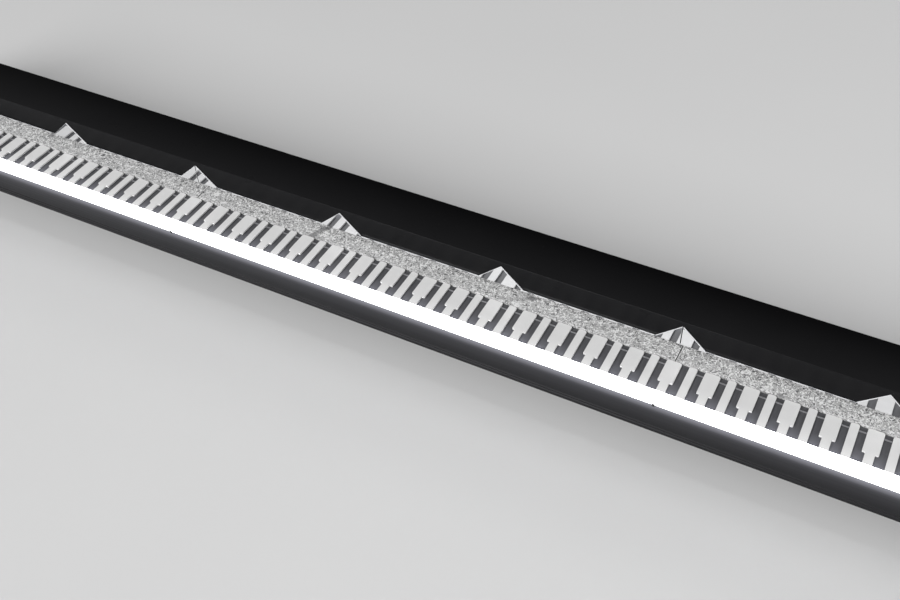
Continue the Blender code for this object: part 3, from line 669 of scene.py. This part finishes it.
def diffuser_clips():
    """A dark clip holds the strip's lower edge beside each joint between modules."""
    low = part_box("diffuser_centre")[0]
    half = 0.8 * MM
    front = low.y - 0.3 * MM
    inner = low.y - 0.05 * MM
    back = low.y + 1.5 * MM
    top = low.z + 1.5 * MM
    seat = low.z - 0.1 * MM
    under = low.z - 0.6 * MM
    outline = [(front, top), (front, under), (back, under), (back, seat), (inner, seat), (inner, top)]
    for word, joint in (("left", -MODULE / 2), ("right", MODULE / 2)):
        x = joint - 1.6 * MM
        clip = prism("strip_clip_" + word, MATERIALS["moulded_black"], outline, x - half, x + half, "X")
        bevel(clip, 0.08 * MM)
        trim(clip, "bar")


def crown(side):
    """Mirrored sheet whose slanted edges and rounded edges carry the painted highlight of bright_edge."""
    node = "crown_" + side
    bm = cad_shape(node)
    bm.normal_update()
    for face in bm.faces:
        slanted = 0.3 < abs(face.normal.z) < 0.9
        face.material_index = 1 if slanted else 0
    obj = finished(bm, node + "_finished", MATERIALS["mirror_polish"])
    obj.data.materials.append(MATERIALS["bright_edge"])
    # The rounded edges take the painted highlight too
    bevel(obj, 0.08 * MM, 1, material=1)
    stands_for(obj, node)


def housing():
    """The extrusion with two decorative grooves in front, a drip groove behind and ribs below."""
    low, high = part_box("housing")
    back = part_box("hood")[1].y
    depth = 0.5 * MM
    half = 1.1 * MM
    groove_z = low.z + 4.0 * MM
    outlines = []
    for z in (groove_z, groove_z + 2.0 * MM):
        outlines.append([(low.y - MM, z - half), (low.y - MM, z + half), (low.y + depth, z)])
    outlines.append([(back + MM, groove_z - half), (back + MM, groove_z + half), (back - depth, groove_z)])
    ribs = 9
    for step in range(ribs):
        y = low.y + (9.5 + 6.0 * step) * MM
        outlines.append([(y - half, low.z - MM), (y + half, low.z - MM), (y, low.z + depth)])
    obj = copied("housing")
    reach = high.x + MM
    boolean(obj, [(outline, -reach, reach, "X") for outline in outlines])
    bevel(obj, 0.22 * MM)
    stands_for(obj, "housing")


# Ends

def out_of(node):
    """Which way is out for a piece at an end of the bar."""
    return math.copysign(1.0, middle(node).x)


def pivot(node):
    """Where a piece's axis along X is, as (y, z)."""
    centre = middle(node)
    return centre.y, centre.z


def inner_face(node):
    """The X of a piece's side that looks at the middle of the bar."""
    low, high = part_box(node)
    return low.x if high.x > 0 else high.x


def clamp_knob(word):
    """Six-lobed knob with a dished face, a rounded rim and a collar on a blind bore."""
    node = "clamp_knob_" + word
    profile = [
        (0, 16.2), (6.6, 16.2), (7.0, 16.4), (7.3, 16.9), (7.8, 17.0), (12.4, 17.0, 0.5),
        (14.5, 16.6, 1.1), (15.8, 15.7, 1.5), (16.4, 14.2, 1.75), (16.5, 12.5, 1.8), (16.5, 8.4, 1.8),
        (16.2, 6.9, 1.7), (15.3, 5.7, 1.4), (13.6, 5.0, 0.9), (10.6, 5.0), (10.0, 4.6), (10.0, 0.5),
        (9.5, 0.0), (4.9, 0.0), (4.4, 0.5), (4.4, 15.0), (0, 15.0),
    ]
    knob = turned(node + "_finished", MATERIALS["moulded_black"], pivot(node), "X", inner_face(node),
                  out_of(node), profile, 144, 6)
    stands_for(knob, node)
    profile = [(0, 16.75), (4.6, 16.75), (5.6, 16.65), (6.0, 16.3), (6.0, 16.1), (0, 16.1)]
    badge = turned("knob_insert_" + word, MATERIALS["bright_steel"], pivot(node), "X", inner_face(node),
                   out_of(node), profile)
    trim(badge, BODY_OF[node])


def washer(word):
    """Flat ring with softened edges."""
    node = "friction_washer_" + word
    profile = [(4.4, 0.25), (4.65, 0.0), (12.7, 0.0), (13.0, 0.3), (13.0, 1.7), (12.7, 2.0), (4.65, 2.0),
               (4.4, 1.75)]
    ring = turned(node + "_finished", MATERIALS["rubber_seal"], pivot(node), "X", inner_face(node),
                  out_of(node), profile, 72, closed=True)
    stands_for(ring, node)


def pivot_bolt(word):
    """Round head with a chamfered rim, and a plain shank."""
    node = "pivot_bolt_" + word
    low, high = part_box(node)
    length = (high.x - low.x) / MM
    profile = [(0, 0), (7.9, 0), (8.5, 0.6), (8.5, 2.7), (4.0, 2.7), (4.0, length - 0.6),
               (3.4, length), (0, length)]
    bolt = turned(node + "_finished", MATERIALS["bright_steel"], pivot(node), "X", inner_face(node),
                  out_of(node), profile, 48)
    stands_for(bolt, node)


def bracket(word):
    """Bent steel plate: the outside of the bend is rounded, and so is its inside corner."""
    node = "bracket_" + word
    low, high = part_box(node)
    side = out_of(node)
    outside = high.x if side > 0 else low.x
    thick = 3.0 * MM
    bm = cad_shape(node)

    def runs_along(edge, x, z):
        return all(abs(v.co.x - x) < 0.1 * MM and abs(v.co.z - z) < 0.1 * MM for v in edge.verts)

    outer = [e for e in bm.edges if runs_along(e, outside, 0.0)]
    bmesh.ops.bevel(bm, geom=outer, offset=2.6 * MM, segments=6, profile=0.5, affect="EDGES",
                    clamp_overlap=True)
    inner = [e for e in bm.edges if runs_along(e, outside - side * thick, thick)]
    bmesh.ops.bevel(bm, geom=inner, offset=1.6 * MM, segments=4, profile=0.5, affect="EDGES",
                    clamp_overlap=True)
    obj = finished(bm, node + "_finished", MATERIALS["painted_steel"])
    bevel(obj, 0.30 * MM)
    stands_for(obj, node)


# Screws

def screw(node, axis):
    """Pan head screw with a cross recess, along X at the bar's ends or along Y behind."""
    low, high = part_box(node)
    centre = middle(node)
    if axis == "X":
        head = 1.7
        sense = out_of(node)
        seat = (high.x if sense > 0 else low.x) - sense * head * MM
        length = (high.x - low.x) / MM - head
        a, b = centre.y, centre.z
    else:
        head = 1.8
        sense = 1.0
        seat = high.y - head * MM
        length = (high.y - low.y) / MM - head
        a, b = centre.x, centre.z
    profile = [(0, 1.68), (1.2, 1.66), (2.1, 1.45), (2.7, 1.05), (3.0, 0.55), (3.0, 0.1), (2.9, 0.0),
               (1.5, 0.0), (1.5, 0.6 - length), (1.0, -length), (0, -length)]
    obj = turned(node + "_finished", MATERIALS["bright_steel"], (a, b), axis, seat, sense, profile, 40)
    arm = 1.6 * MM
    half = 0.32 * MM
    cross = [(half, half), (half, arm), (-half, arm), (-half, half), (-arm, half), (-arm, -half),
             (-half, -half), (-half, -arm), (half, -arm), (half, -half), (arm, -half), (arm, half)]
    depths = sorted((seat + sense * 0.7 * MM, seat + sense * 2.5 * MM))
    boolean(obj, [([(a + p, b + q) for p, q in cross], *depths, axis)])
    flatten_shading(obj)
    stands_for(obj, node)


# Rear controls

def panel_body(node, flange_thick, rim):
    """The snap-in body behind a rounded flange, as inlet, outlet and switch have."""
    low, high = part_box(node)
    centre = (low + high) / 2
    half_x = (high.x - low.x) / 2
    half_z = (high.z - low.z) / 2
    flange = rounded(centre.x, centre.z, half_x, half_z, 2.0 * MM)
    body = prism(node + "_finished", MATERIALS["moulded_black"], flange, high.y - flange_thick, high.y, "Y")
    block = rectangle(centre.x - half_x + rim, centre.x + half_x - rim,
                      centre.z - half_z + rim, centre.z + half_z - rim)
    boolean(body, [(block, low.y, high.y - flange_thick / 2, "Y")], "UNION")
    return body, centre, low, high


def inlet_shape(x, z, half_x, half_z, corner):
    """A mains connector's outline: its upper corners are cut off."""
    return [(x - half_x, z - half_z), (x + half_x, z - half_z), (x + half_x, z + half_z - corner),
            (x + half_x - corner, z + half_z), (x - half_x + corner, z + half_z),
            (x - half_x, z + half_z - corner)]


def power_inlet():
    """A deep mouth with three blades."""
    body, centre, low, high = panel_body("power_inlet", 2.2 * MM, 2.4 * MM)
    mouth = inlet_shape(centre.x, centre.z, 12.0 * MM, 8.0 * MM, 4.0 * MM)
    boolean(body, [(mouth, low.y + 4.0 * MM, high.y + MM, "Y")])
    bevel(body, 0.25 * MM)
    stands_for(body, "power_inlet")
    blades = []
    for dx, dz in PIN_PLACES:
        blade = rounded(centre.x + dx * MM, centre.z + dz * MM, 1.0 * MM, 2.0 * MM, 0.3 * MM, 2)
        blades.append((blade, low.y + 3.0 * MM, low.y + 14.0 * MM, "Y"))
    pins = prisms("inlet_pins", MATERIALS["brass"], blades)
    bevel(pins, 0.35 * MM)
    trim(pins, "bar")


def power_outlet():
    """A trench runs round the raised island with the three slots."""
    body, centre, _, high = panel_body("power_outlet", 2.2 * MM, 2.4 * MM)
    trench = inlet_shape(centre.x, centre.z, 12.4 * MM, 8.4 * MM, 4.2 * MM)
    boolean(body, [(trench, high.y - 7.0 * MM, high.y + MM, "Y")])
    island = inlet_shape(centre.x, centre.z, 10.6 * MM, 6.6 * MM, 3.4 * MM)
    boolean(body, [(island, high.y - 9.0 * MM, high.y - 0.6 * MM, "Y")], "UNION")
    slots = []
    for dx, dz in PIN_PLACES:
        slot = rectangle(centre.x + (dx - 1.2) * MM, centre.x + (dx + 1.2) * MM,
                         centre.z + (dz - 2.3) * MM, centre.z + (dz + 2.3) * MM)
        slots.append((slot, high.y - 12.0 * MM, high.y + MM, "Y"))
    boolean(body, slots)
    bevel(body, 0.22 * MM)
    stands_for(body, "power_outlet")


def rocker_switch():
    """Framed rocker with a curved face and its on and off marks."""
    bezel, centre, low, high = panel_body("switch_bezel", 1.8 * MM, 1.5 * MM)
    window = rectangle(centre.x - 5.0 * MM, centre.x + 5.0 * MM, centre.z - 8.2 * MM, centre.z + 8.2 * MM)
    boolean(bezel, [(window, low.y + 9.0 * MM, high.y + MM, "Y")])
    bevel(bezel, 0.25 * MM)
    stands_for(bezel, "switch_bezel")

    low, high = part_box("switch_rocker")
    x, z = centre.x, centre.z
    face = high.y
    dish = ((2.6, -7.0), (2.15, -4.6), (1.6, -2.2), (0.95, 0.0), (0.62, 2.2), (0.30, 4.4), (0.0, 6.6))
    outline = [(low.y, z - 3.0 * MM), (low.y + 1.7 * MM, z - 6.8 * MM)]
    outline += [(face - depth * MM, z + height * MM) for depth, height in dish]
    outline += [(low.y + 2.9 * MM, z + 6.9 * MM), (low.y, z + 3.0 * MM)]
    rocker = prism("switch_rocker_finished", MATERIALS["switch_red"], outline, low.x, high.x, "X")
    bevel(rocker, 0.35 * MM, 3, 20.0)
    stands_for(rocker, "switch_rocker")

    white = MATERIALS["board_white"]
    upper = face - 0.38 * MM
    stroke = rectangle(x - 0.25 * MM, x + 0.25 * MM, z + 2.6 * MM, z + 5.2 * MM)
    on_mark = prism("switch_on_mark", white, stroke, upper - 0.6 * MM, upper + 0.25 * MM, "Y")
    trim(on_mark, "rocker")
    lower = face - 1.98 * MM
    profile = [(1.0, -0.6), (1.4, -0.6), (1.4, 0.42), (1.0, 0.42)]
    off_mark = turned("switch_off_mark", white, (x, z - 3.8 * MM), "Y", lower, 1.0, profile, 40,
                      closed=True)
    trim(off_mark, "rocker")


def fuse():
    """Round holder and its slotted cap with a milled grip."""
    low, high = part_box("fuse_holder")
    centre = middle("fuse_holder")
    place = (centre.x, centre.z)
    length = (high.y - low.y) / MM
    profile = [(0, 8.0), (4.6, 8.0), (4.6, length - 0.3), (4.9, length), (7.5, length), (8.0, length - 0.5),
               (8.0, length - 1.8), (6.0, length - 1.8), (6.0, 0.4), (5.6, 0), (0, 0)]
    holder = turned("fuse_holder_finished", MATERIALS["moulded_black"], place, "Y", low.y, 1.0, profile)
    stands_for(holder, "fuse_holder")

    low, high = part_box("fuse_cap")
    top = (high.y - low.y) / MM
    profile = [(0, 0), (3.8, 0), (4.2, 0.4), (4.2, top - 4.4), (6.2, top - 4.4), (6.45, top - 4.1),
               (6.45, top - 3.9, 0.13), (6.45, top - 0.9, 0.13), (6.3, top - 0.5), (5.9, top - 0.12),
               (5.4, top), (0, top)]
    cap = turned("fuse_cap_finished", MATERIALS["moulded_black"], place, "Y", low.y, 1.0, profile, 216, 36)
    slot = rectangle(place[0] - 4.2 * MM, place[0] + 4.2 * MM, place[1] - 0.7 * MM, place[1] + 0.7 * MM)
    boolean(cap, [(slot, high.y - 1.3 * MM, high.y + MM, "Y")])
    flatten_shading(cap)
    stands_for(cap, "fuse_cap")


def ray(centre, turn, inner, outer, half):
    """A thin rectangle that points away from a centre, at an angle in degrees."""
    along = Vector((math.cos(math.radians(turn)), math.sin(math.radians(turn))))
    across = half * along.orthogonal()
    start = Vector(centre) + along * inner
    end = Vector(centre) + along * outer
    return [tuple(corner) for corner in (start - across, end - across, end + across, start + across)]


def dimmer():
    """The dial rests at full, and turns back over the top to the scale's other end."""
    low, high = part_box("dimmer_knob")
    centre = middle("dimmer_knob")
    place = (centre.x, centre.z)
    top = (high.y - low.y) / MM
    profile = [
        (0, top - 0.35), (5.2, top - 0.35), (5.8, top), (6.5, top), (7.0, top - 0.3), (7.25, top - 0.9),
        (7.35, top - 1.6, 0.2), (7.9, 2.8, 0.2), (8.2, 2.3), (8.8, 1.9), (9.0, 1.6), (9.0, 0.3),
        (8.7, 0), (2.6, 0), (2.3, 0.3), (2.3, 7.5), (0, 7.5),
    ]
    knob = turned("dimmer_knob_finished", MATERIALS["moulded_black"], place, "Y", low.y, 1.0, profile,
                  216, 24)
    stands_for(knob, "dimmer_knob")
    white = MATERIALS["board_white"]
    line = ray(place, FULL_TURN, 1.5 * MM, 7.0 * MM, 0.45 * MM)
    mark = prism("dimmer_pointer", white, line, high.y - 0.8 * MM, high.y - 0.02 * MM, "Y")
    trim(mark, "dimmer_knob")

    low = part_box("dimmer_pot")[0]
    profile = [(0, 0), (7.0, 0), (7.0, 9.8), (3.5, 9.8), (3.5, 14.4), (2.0, 14.4), (2.0, 21.1), (1.7, 21.4),
               (0, 21.4)]
    pot = turned("dimmer_pot_finished", MATERIALS["bright_steel"], place, "Y", low.y, 1.0, profile, 48)
    stands_for(pot, "dimmer_pot")

    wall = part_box("hood")[1].y
    ticks = []
    for number in range(TICKS):
        turn = FULL_TURN - DIAL_SWEEP * number / (TICKS - 1)
        outer, half = (12.8, 0.30) if number % 5 == 0 else (12.0, 0.20)
        tick = ray(place, turn, 10.3 * MM, outer * MM, half * MM)
        ticks.append((tick, wall - 0.2 * MM, wall + 0.06 * MM, "Y"))
    scale = prisms("dimmer_scale", white, ticks)
    trim(scale, "bar")


# Everything

def build_bar():
    for index, side in enumerate(SIDES):
        comb(index, side)
        diffuser(side)
        crown(side)
        softened("rail_" + side, 0.10 * MM)
        softened("led_board_" + side, 0.10 * MM)
        screw("hood_screw_" + side, "Y")
    diffuser_clips()
    housing()
    softened("hood", 0.08 * MM)
    softened("deck_plate", 0.15 * MM)


def build_ends():
    for word in ("left", "right"):
        softened("end_cap_" + word, 0.6 * MM, 3)
        softened("gasket_" + word, 0.15 * MM)
        washer(word)
        pivot_bolt(word)
        bracket(word)
        clamp_knob(word)
        for number in range(1, 5):
            screw("cap_screw_%s_%d" % (word, number), "X")


def build_rear():
    power_inlet()
    power_outlet()
    rocker_switch()
    fuse()
    dimmer()


def build_inside():
    for node in ("driver_tray", "driver_board", "driver_transformer", "driver_heat_sink", "terminal_block",
                 "capacitor_input", "capacitor_output"):
        softened(node, 0.3 * MM)


def paint_the_rest():
    """CAD nodes whose own shape stays take their finish's material."""
    for node, obj in frame["nodes"].items():
        if not obj.hide_render:
            obj.data.materials.clear()
            obj.data.materials.append(MATERIALS[SLOT_OF[node]])


# Studio

def studio():
    """A round pale floor, an even pale sky and three soft lights."""
    bm = bmesh.new()
    bmesh.ops.create_circle(bm, cap_ends=True, segments=96, radius=14.0)
    floor = finished(bm, "floor", pale_floor())
    world = bpy.data.worlds.new("studio")
    bpy.context.scene.world = world
    world.use_nodes = True
    background = world.node_tree.nodes["Background"]
    background.inputs["Color"].default_value = (0.87, 0.87, 0.88, 1.0)
    background.inputs["Strength"].default_value = 0.23
    area("front_light", (-1.53, -4.42, 3.23), 2.72, 365.0)
    area("side_light", (2.4, -1.2, 2.0), 1.6, 40.0)
    area("rear_light", (3.6, 4.6, 3.4), 3.0, 200.0)


def area(name, place, size, power):
    """A square soft light aimed at the middle of the bar."""
    light = bpy.data.lights.new(name, "AREA")
    light.size = size
    light.energy = power
    obj = bpy.data.objects.new(name, light)
    bpy.context.scene.collection.objects.link(obj)
    obj.location = place
    obj.rotation_euler = (-Vector(place)).to_track_quat("-Z", "Y").to_euler()


def camera():
    """Half a metre up in front of the right half, looking down and along to the left."""
    place = Vector((0.2567, -0.4204, KEY_PLANE + 0.4549))
    aim = Vector((0.0303, -0.0123, KEY_PLANE))
    roll = math.radians(-1.99)
    data = bpy.data.cameras.new("camera")
    data.sensor_width = 36.0
    data.lens = 43.61
    data.clip_start = 0.01
    obj = bpy.data.objects.new("camera", data)
    bpy.context.scene.collection.objects.link(obj)
    turn = (aim - place).to_track_quat("-Z", "Y").to_matrix().to_4x4()
    obj.matrix_world = Matrix.Translation(place) @ turn @ Matrix.Rotation(roll, 4, "Z")
    bpy.context.scene.camera = obj


build_bar()
build_ends()
build_rear()
build_inside()
paint_the_rest()
studio()
camera()
bpy.context.scene.view_settings.view_transform = "Standard"
